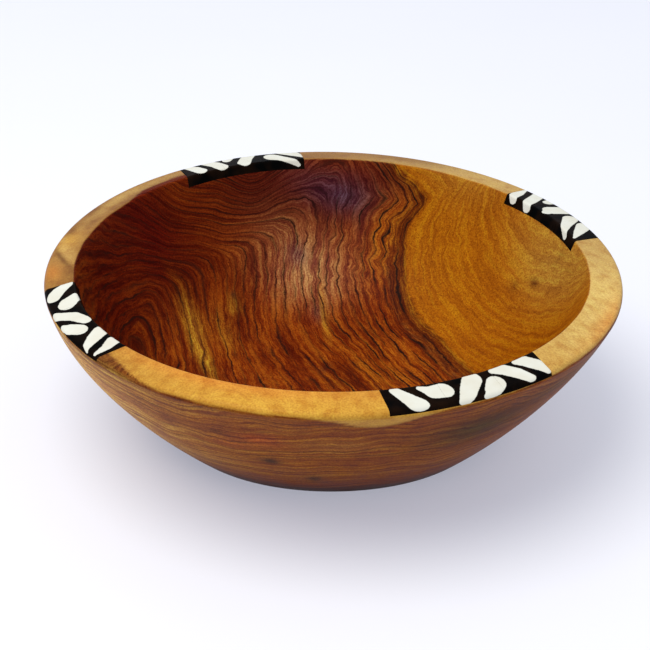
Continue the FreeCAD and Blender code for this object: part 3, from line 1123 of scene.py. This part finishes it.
def olive_wood():
    nodes = WoodNodes("olive_wood")
    figure = nodes.attribute("figure")
    rim = nodes.attribute("rim")
    wall = nodes.attribute("wall")
    fibre = nodes.along_grain(2.4, 0.22, detail=2.0, seed=1.3)
    dark = line_darkness(nodes, figure)
    mottle = nodes.noise(nodes.place, nodes.math("MULTIPLY_ADD", rim, 0.07, 0.11), 3.0)
    pores = nodes.noise(nodes.place, PORES_PER_MM, roughness=0.7)
    patches = nodes.ramp(
        mottle, (0.3, (0.78, 0.62, 0.48)), (0.52, WHITE), (0.72, (1.08, 1.14, 1.25))
    )
    speckle = nodes.ramp(
        pores, (0.34, (0.55, 0.42, 0.40)), (0.5, WHITE), (0.66, (1.30, 1.42, 1.50))
    )
    patchiness = nodes.math("MULTIPLY_ADD", wall, 0.60, nodes.math("MULTIPLY_ADD", rim, 0.35, 0.35))
    speckled = nodes.math("MULTIPLY_ADD", rim, -0.35, 0.75)
    tint = nodes.colour_attribute("tint")
    colour = nodes.mix(1.0, tint, streaks(nodes, fibre, figure, rim), "MULTIPLY")
    colour = nodes.times(patchiness, colour, patches)
    colour = nodes.times(speckled, colour, speckle)
    sheen = nodes.math("MULTIPLY_ADD", rim, RIM_SHEEN, HOLLOW_SHEEN)
    return nodes.surface(
        Base_Color=nodes.mix(dark, colour, LINE_COLOUR),
        Roughness=nodes.spread(mottle, 0.2, WOOD_ROUGHNESS),
        Specular_IOR_Level=nodes.math("MULTIPLY_ADD", wall, WALL_SHEEN, sheen),
        Normal=nodes.bump(nodes.math("MULTIPLY_ADD", dark, -0.6, fibre), FIBRE_DEPTH, 0.5),
    )


# Pairs of shades that drift into one another
DYE = (0.0012, 0.0012, 0.0012), (0.009, 0.004, 0.002)
UNDYED = (0.53, 0.505, 0.42), (0.57, 0.565, 0.50)
TABLE_GREYS = (0.455, 0.455, 0.465), (0.47, 0.47, 0.475)
# Painted glow: the table gives off light of its own, which lightens the shadows on it.
TABLE_PAINTED_GLOW, TABLE_PAINTED_GLOW_STRENGTH = (0.84, 0.84, 1.0), 0.37
STROKE_RAGGEDNESS = 0.5       # millimetres
STROKE_SOFTNESS = 0.16


def dyed_pattern(name, specular, roughness):
    """Black dye round pale strokes, with a slightly ragged edge between them."""
    nodes = Nodes(name)
    place = nodes.position()
    ragged = nodes.noise(place, 1.1, 3.0)
    distance = nodes.spread(ragged, STROKE_RAGGEDNESS, nodes.attribute("mark"))
    undyed = nodes.ease(distance, -STROKE_SOFTNESS, STROKE_SOFTNESS, 1.0, 0.0)
    cloud = nodes.noise(place, 0.12, 3.0)
    dye = nodes.ramp(cloud, (0.40, DYE[0]), (0.75, DYE[1]))
    pale = nodes.ramp(cloud, (0.3, UNDYED[0]), (0.7, UNDYED[1]))
    return nodes.surface(
        Base_Color=nodes.mix(undyed, dye, pale),
        Roughness=roughness,
        Specular_IOR_Level=nodes.math("MULTIPLY_ADD", undyed, specular, 0.006),
        Normal=nodes.bump(nodes.noise(place, 0.9, 4.0), 0.04, 0.35),
    )


def dyed_bone():
    return dyed_pattern("dyed_bone", specular=0.05, roughness=0.32)


def set_glue():
    """Glue that took up the same dye as the bone beside it."""
    return dyed_pattern("set_glue", specular=0.04, roughness=0.45)


def white_table():
    """A white table with a painted glow, which lightens the shadows on it."""
    nodes = Nodes("white_table")
    cloud = nodes.noise(nodes.position(), 0.004)
    return nodes.surface(
        Base_Color=nodes.ramp(cloud, (0.2, TABLE_GREYS[0]), (0.8, TABLE_GREYS[1])),
        Roughness=0.6,
        Specular_IOR_Level=0.2,
        Emission_Color=TABLE_PAINTED_GLOW,
        Emission_Strength=TABLE_PAINTED_GLOW_STRENGTH,
    )


# ----- Light, table and camera -----
TABLE_HALF_WIDTH = 6.0        # metres
TABLE_DROP = 0.0001           # below the foot, in metres
SKY_COLOUR, SKY_STRENGTH = (0.84, 0.91, 1.0, 1.0), 0.95
LAMP_COLOUR, LAMP_POWER = (1.0, 0.96, 0.90), 19.0
LAMP_PLACE, LAMP_WIDTH = (-0.42, -0.32, 1.36), 1.1      # metres

# The camera's distance and elevation are from the rim's centre. It is then turned left, turned
# down and tilted, so that the bowl sits a little above the middle of the picture.
CAMERA_DISTANCE = 665.1
CAMERA_ELEVATION = 26.51
CAMERA_YAW = 0.192
CAMERA_PITCH = -2.546
CAMERA_ROLL = -0.76
CAMERA_LENS = 83.08


def lay_table(material):
    half = TABLE_HALF_WIDTH
    corners = [(-half, -half, 0), (half, -half, 0), (half, half, 0), (-half, half, 0)]
    mesh = bpy.data.meshes.new("table")
    mesh.from_pydata(corners, [], [(0, 1, 2, 3)])
    table = bpy.data.objects.new("table", mesh)
    bpy.context.scene.collection.objects.link(table)
    table.location.z = -TABLE_DROP
    mesh.materials.append(material)


def hang_lamp():
    data = bpy.data.lights.new("lamp", "AREA")
    data.shape = "DISK"
    data.size = LAMP_WIDTH
    data.energy = LAMP_POWER
    data.color = LAMP_COLOUR
    lamp = bpy.data.objects.new("lamp", data)
    lamp.location = LAMP_PLACE
    aim = Vector((0, 0, BOWL_HEIGHT * MM)) - Vector(LAMP_PLACE)
    lamp.rotation_euler = aim.to_track_quat("-Z", "Y").to_euler()
    bpy.context.scene.collection.objects.link(lamp)


def light_scene():
    world = bpy.data.worlds.new("studio")
    world.use_nodes = True
    background = world.node_tree.nodes["Background"]
    background.inputs["Color"].default_value = SKY_COLOUR
    background.inputs["Strength"].default_value = SKY_STRENGTH
    scene = bpy.context.scene
    scene.world = world
    scene.view_settings.view_transform = "Standard"
    hang_lamp()


def rotated(degrees, axis, *vectors):
    turn = Matrix.Rotation(math.radians(degrees), 3, axis)
    return [turn @ vector for vector in vectors]


def aim_camera():
    elevation = math.radians(CAMERA_ELEVATION)
    back = Vector((0, -math.cos(elevation), math.sin(elevation)))
    place = Vector((0, 0, BOWL_HEIGHT * MM)) + back * CAMERA_DISTANCE * MM
    forward = -back
    right = Vector((1, 0, 0))
    up = right.cross(forward)
    forward, right = rotated(CAMERA_YAW, up, forward, right)
    forward, up = rotated(CAMERA_PITCH, right, forward, up)
    right, up = rotated(CAMERA_ROLL, forward, right, up)
    data = bpy.data.cameras.new("camera")
    data.lens = CAMERA_LENS
    camera = bpy.data.objects.new("camera", data)
    axes = Matrix((right, up, -forward)).transposed()
    camera.matrix_world = Matrix.Translation(place) @ axes.to_4x4()
    bpy.context.scene.collection.objects.link(camera)
    bpy.context.scene.camera = camera


# ----- Build -----
def stand_for(piece, node, material):
    """Puts a piece in the place of a CAD node, with a material of its own."""
    piece.data.materials.append(material)
    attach(piece, "root")
    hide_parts(node)


bowl = carve_bowl()
cut_notches(bowl)
paint_wood(bowl)
shade_smooth(bowl, BOWL_SHARP_ANGLE)
stand_for(bowl, "bowl_body", olive_wood())

bone = dyed_bone()
glue = set_glue()
for place in INLAYS:
    outlines = rim_outlines(INLAYS[place])
    for number in range(1, TILES_PER_INLAY + 1):
        tile = make_tile(place, number, outlines)
        stand_for(tile, "bone_tile_%s_%d" % (place, number), bone)
    bed = make_bed(place, outlines)
    stand_for(bed, "adhesive_bed_" + place, glue)

lay_table(white_table())
light_scene()
aim_camera()
